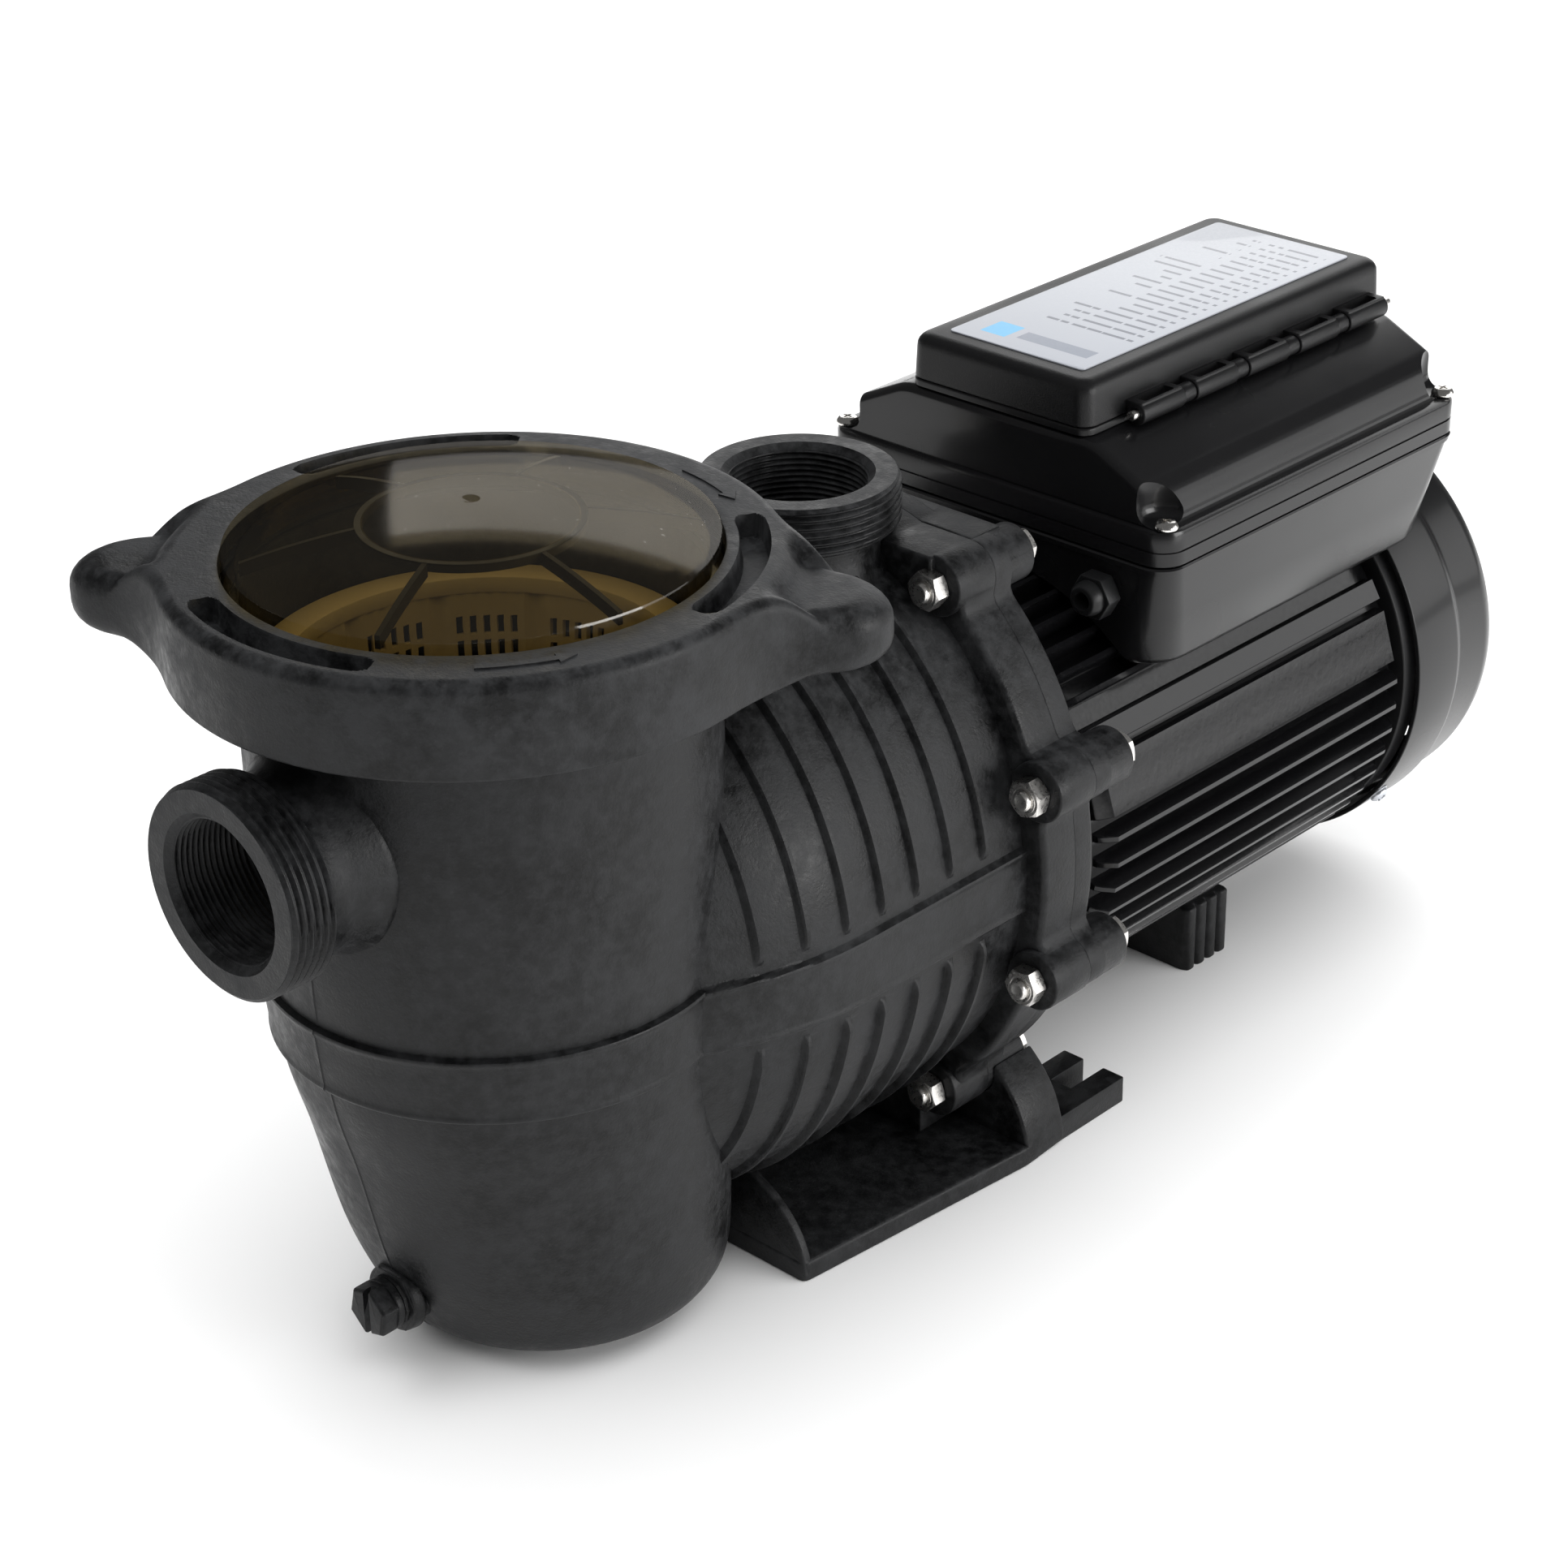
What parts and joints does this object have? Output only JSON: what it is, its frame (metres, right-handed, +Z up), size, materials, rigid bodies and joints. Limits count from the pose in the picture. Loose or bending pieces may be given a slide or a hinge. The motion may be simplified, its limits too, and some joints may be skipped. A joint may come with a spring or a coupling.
{
  "type": "pool pump",
  "caption": "Self-priming pool pump with a strainer pot under a clear domed lid, threaded ports, finned motor and a controller box with a hinged keypad lid.",
  "frame": {"origin": "on the floor, at the middle of the flat underside of the front foot", "axes": "+Y along the motor shaft from the suction port towards the fan, +Z up, +X towards the hinge side of the keypad lid"},
  "size_m": [0.2298, 0.5924, 0.31],
  "materials": {
    "filled_plastic": "matt black glass-filled plastic",
    "ring_plastic": "satin black plastic",
    "box_plastic": "satin black plastic",
    "black_paint": "gloss black paint on aluminium",
    "smoky_amber": "clear smoky amber plastic",
    "basket_plastic": "pale plastic",
    "seal_rubber": "matt black rubber",
    "grey_plastic": "grey plastic",
    "stainless_steel": "bright stainless steel",
    "lamination_steel": "dull laminated steel",
    "seal_ceramic": "polished ceramic",
    "label_film": "white film",
    "board_green": "lacquered circuit board"
  },
  "bodies": {
    "pump": {"pump_housing": "filled_plastic", "seal_plate": "filled_plastic", "rear_foot": "filled_plastic", "housing_seal": "seal_rubber", "controller_gasket": "seal_rubber", "diffuser": "grey_plastic", "cable_gland": "grey_plastic", "shaft_seal_seat": "seal_ceramic", "front_bearing": "stainless_steel", "rear_bearing": "stainless_steel", "hinge_pin": "stainless_steel", "flange_bolt_1": "stainless_steel", "flange_bolt_2": "stainless_steel", "flange_bolt_3": "stainless_steel", "flange_bolt_4": "stainless_steel", "flange_bolt_5": "stainless_steel", "flange_bolt_6": "stainless_steel", "flange_bolt_7": "stainless_steel", "flange_bolt_8": "stainless_steel", "flange_nut_1": "stainless_steel", "flange_nut_2": "stainless_steel", "flange_nut_3": "stainless_steel", "flange_nut_4": "stainless_steel", "flange_nut_5": "stainless_steel", "flange_nut_6": "stainless_steel", "flange_nut_7": "stainless_steel", "flange_nut_8": "stainless_steel", "cover_screw_1": "stainless_steel", "cover_screw_2": "stainless_steel", "cover_screw_3": "stainless_steel", "cover_screw_4": "stainless_steel", "fan_cover_screw_1": "stainless_steel", "fan_cover_screw_2": "stainless_steel", "fan_cover_screw_3": "stainless_steel", "stator_core": "lamination_steel", "front_end_bell": "box_plastic", "rear_end_bell": "box_plastic", "fan_cover": "box_plastic", "controller_base": "box_plastic", "controller_cover": "box_plastic", "keypad_panel": "box_plastic", "motor_shell": "black_paint", "circuit_board": "board_green"},
    "window_lid": {"lid_window": "smoky_amber", "lid_seal": "seal_rubber"},
    "lock_ring": {"lock_ring": "ring_plastic"},
    "basket": {"strainer_basket": "basket_plastic"},
    "drain_plug": {"drain_plug": "filled_plastic", "drain_plug_seal": "seal_rubber"},
    "control_lid": {"control_lid": "box_plastic", "rating_label": "label_film"},
    "rotor": {"motor_shaft": "stainless_steel", "rotor_core": "lamination_steel", "impeller": "grey_plastic", "shaft_seal_head": "stainless_steel", "cooling_fan": "grey_plastic"},
    "key_1": {"key_1": "grey_plastic"},
    "key_2": {"key_2": "grey_plastic"},
    "key_3": {"key_3": "grey_plastic"},
    "key_4": {"key_4": "grey_plastic"}
  },
  "joints": [
    {"name": "lid_lift", "type": "slide", "parent": "pump", "child": "window_lid", "axis": [0, 0, 1], "range_m": [0, 0.36]},
    {"name": "lock_ring_turn", "type": "hinge", "parent": "window_lid", "child": "lock_ring", "pos_m": [0, -0.14, 0.277], "axis": [0, 0, 1], "range_deg": [0, 20]},
    {"name": "basket_lift", "type": "slide", "parent": "pump", "child": "basket", "axis": [0, 0, 1], "range_m": [0, 0.255]},
    {"name": "drain_plug_pull", "type": "slide", "parent": "pump", "child": "drain_plug", "axis": [0, -1, 0], "range_m": [0, 0.025]},
    {"name": "control_lid_hinge", "type": "hinge", "parent": "pump", "child": "control_lid", "pos_m": [0.0478, 0.212, 0.2672], "axis": [0, 1, 0], "range_deg": [0, 105]},
    {"name": "rotor_spin", "type": "hinge", "parent": "pump", "child": "rotor", "pos_m": [0, 0.16, 0.122], "axis": [0, 1, 0], "continuous": true},
    {"name": "key_1_press", "type": "slide", "parent": "pump", "child": "key_1", "axis": [0, 0, -1], "range_m": [0, 0.0012], "stiffness_N_per_m": 300, "springref_m": -0.0008},
    {"name": "key_2_press", "type": "slide", "parent": "pump", "child": "key_2", "axis": [0, 0, -1], "range_m": [0, 0.0012], "stiffness_N_per_m": 300, "springref_m": -0.0008},
    {"name": "key_3_press", "type": "slide", "parent": "pump", "child": "key_3", "axis": [0, 0, -1], "range_m": [0, 0.0012], "stiffness_N_per_m": 300, "springref_m": -0.0008},
    {"name": "key_4_press", "type": "slide", "parent": "pump", "child": "key_4", "axis": [0, 0, -1], "range_m": [0, 0.0012], "stiffness_N_per_m": 300, "springref_m": -0.0008}
  ],
  "couplings": [
    {"joint": "basket_lift", "follows": "lid_lift", "ratio": 0.7}
  ]
}
